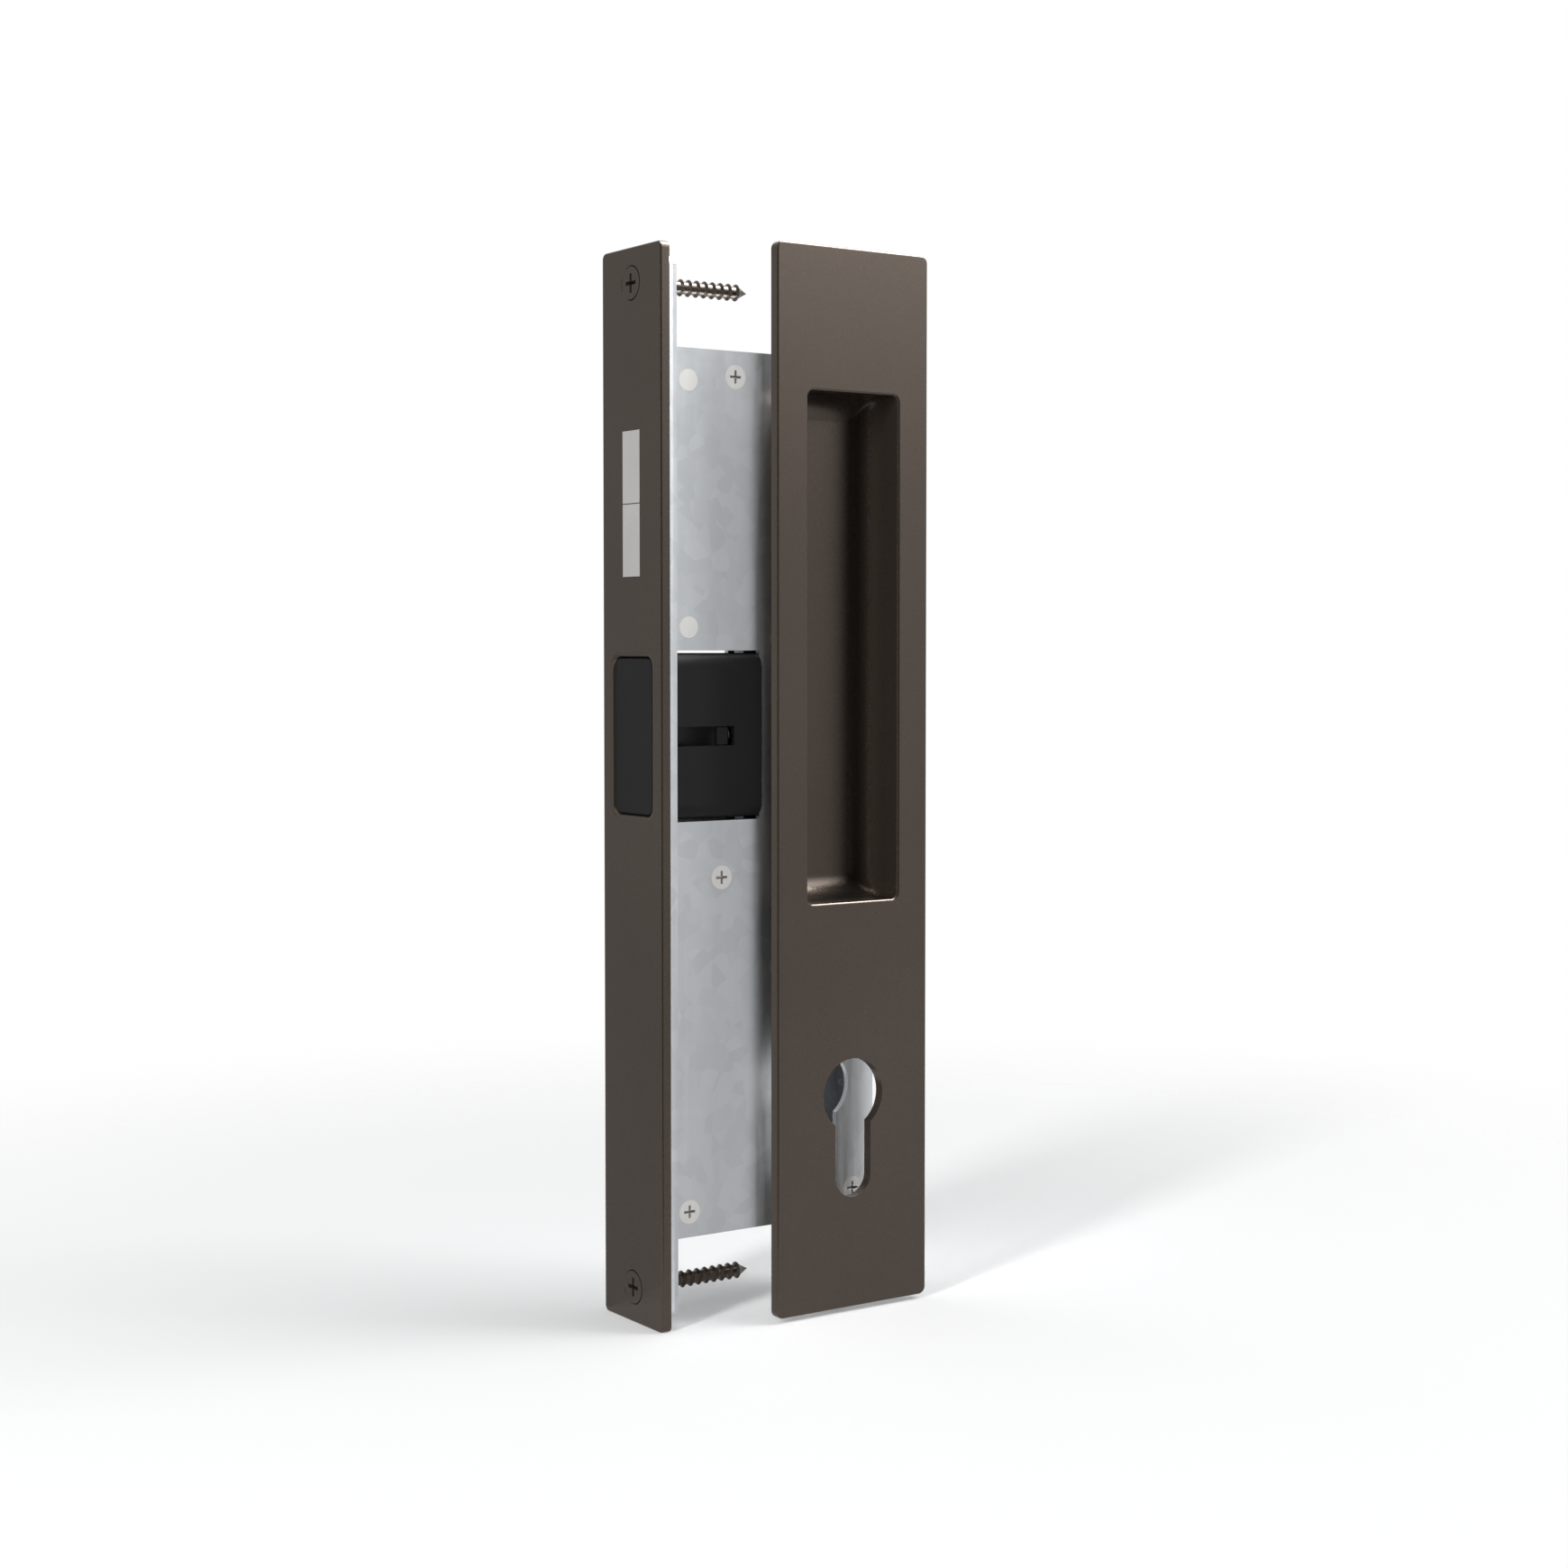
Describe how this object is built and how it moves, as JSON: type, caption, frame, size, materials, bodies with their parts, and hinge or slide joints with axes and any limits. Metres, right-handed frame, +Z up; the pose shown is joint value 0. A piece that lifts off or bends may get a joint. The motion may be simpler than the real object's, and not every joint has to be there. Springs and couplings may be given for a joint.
{
  "type": "flush pull lock set",
  "caption": "Sliding door mortise lock with twin claw bolts and a pop-out edge pull, with a rectangular flush pull plate that has a finger cup and a profile cylinder hole.",
  "frame": {"origin": "on the cylinder axis, at the middle of the lock case and of the door", "axes": "+X from the door edge inward, +Y through the door away from the pull plate, +Z up"},
  "size_m": [0.0697, 0.0345, 0.2512],
  "materials": {
    "satin_bronze": "satin dark bronze",
    "black_moulding": "matt black moulded plastic",
    "bright_steel": "satin nickel plated",
    "plated_steel": "zinc plated sheet",
    "cast_zinc": "die cast zinc",
    "spring_steel": "drawn spring wire"
  },
  "bodies": {
    "lock_and_pull": {"bar_guide_high": "bright_steel", "bar_guide_low": "bright_steel", "bar_spacer_high": "plated_steel", "bar_spacer_low": "plated_steel", "case_cover": "plated_steel", "case_tray": "plated_steel", "claw_pivot_lower": "bright_steel", "claw_pivot_upper": "bright_steel", "claw_spacer_lower_back": "plated_steel", "claw_spacer_lower_front": "plated_steel", "claw_spacer_upper_back": "plated_steel", "claw_spacer_upper_front": "plated_steel", "cover_post_1": "plated_steel", "cover_post_2": "plated_steel", "cover_post_3": "plated_steel", "cover_post_4": "plated_steel", "cover_post_5": "plated_steel", "cover_screw_1": "bright_steel", "cover_screw_2": "bright_steel", "cover_screw_3": "bright_steel", "cover_screw_4": "bright_steel", "cover_screw_5": "bright_steel", "cylinder_screw": "bright_steel", "edge_pull_box": "black_moulding", "edge_pull_spring": "spring_steel", "face_screw_lower": "satin_bronze", "face_screw_upper": "satin_bronze", "faceplate": "satin_bronze", "forend": "plated_steel", "forend_rivet_1": "plated_steel", "forend_rivet_2": "plated_steel", "forend_rivet_3": "plated_steel", "forend_rivet_4": "plated_steel", "pull_plate": "satin_bronze", "slide_guide_lower": "bright_steel", "slide_guide_upper": "bright_steel", "slide_spacer_lower": "plated_steel", "slide_spacer_upper": "plated_steel"},
    "drive_bar": {"drive_bar": "plated_steel", "cam_block": "cast_zinc", "block_rivet_1": "plated_steel", "block_rivet_2": "plated_steel"},
    "claw_slide": {"claw_slide": "plated_steel", "slide_pin": "bright_steel"},
    "upper_claw": {"claw_upper": "bright_steel", "claw_pin_upper": "bright_steel"},
    "lower_claw": {"claw_lower": "bright_steel", "claw_pin_lower": "bright_steel"},
    "edge_pull": {"edge_pull": "black_moulding"}
  },
  "joints": [
    {"name": "drive_bar_lift", "type": "slide", "parent": "lock_and_pull", "child": "drive_bar", "axis": [0, 0, 1], "range_m": [0, 0.01]},
    {"name": "claw_slide_push", "type": "slide", "parent": "lock_and_pull", "child": "claw_slide", "axis": [-1, 0, 0], "range_m": [0, 0.0065]},
    {"name": "upper_claw_turn", "type": "hinge", "parent": "lock_and_pull", "child": "upper_claw", "pos_m": [-0.037, 0, 0.1676], "axis": [0, 1, 0], "range_deg": [0, 40]},
    {"name": "lower_claw_turn", "type": "hinge", "parent": "lock_and_pull", "child": "lower_claw", "pos_m": [-0.037, 0, 0.1106], "axis": [0, -1, 0], "range_deg": [0, 40]},
    {"name": "edge_pull_out", "type": "slide", "parent": "lock_and_pull", "child": "edge_pull", "axis": [-1, 0, 0], "range_m": [-0.0015, 0.015], "deforming": ["edge_pull_spring"]}
  ],
  "couplings": [
    {"joint": "claw_slide_push", "follows": "drive_bar_lift", "ratio": 0.65},
    {"joint": "upper_claw_turn", "follows": "drive_bar_lift", "rad_per_m": 69.8},
    {"joint": "lower_claw_turn", "follows": "drive_bar_lift", "rad_per_m": 69.8}
  ]
}
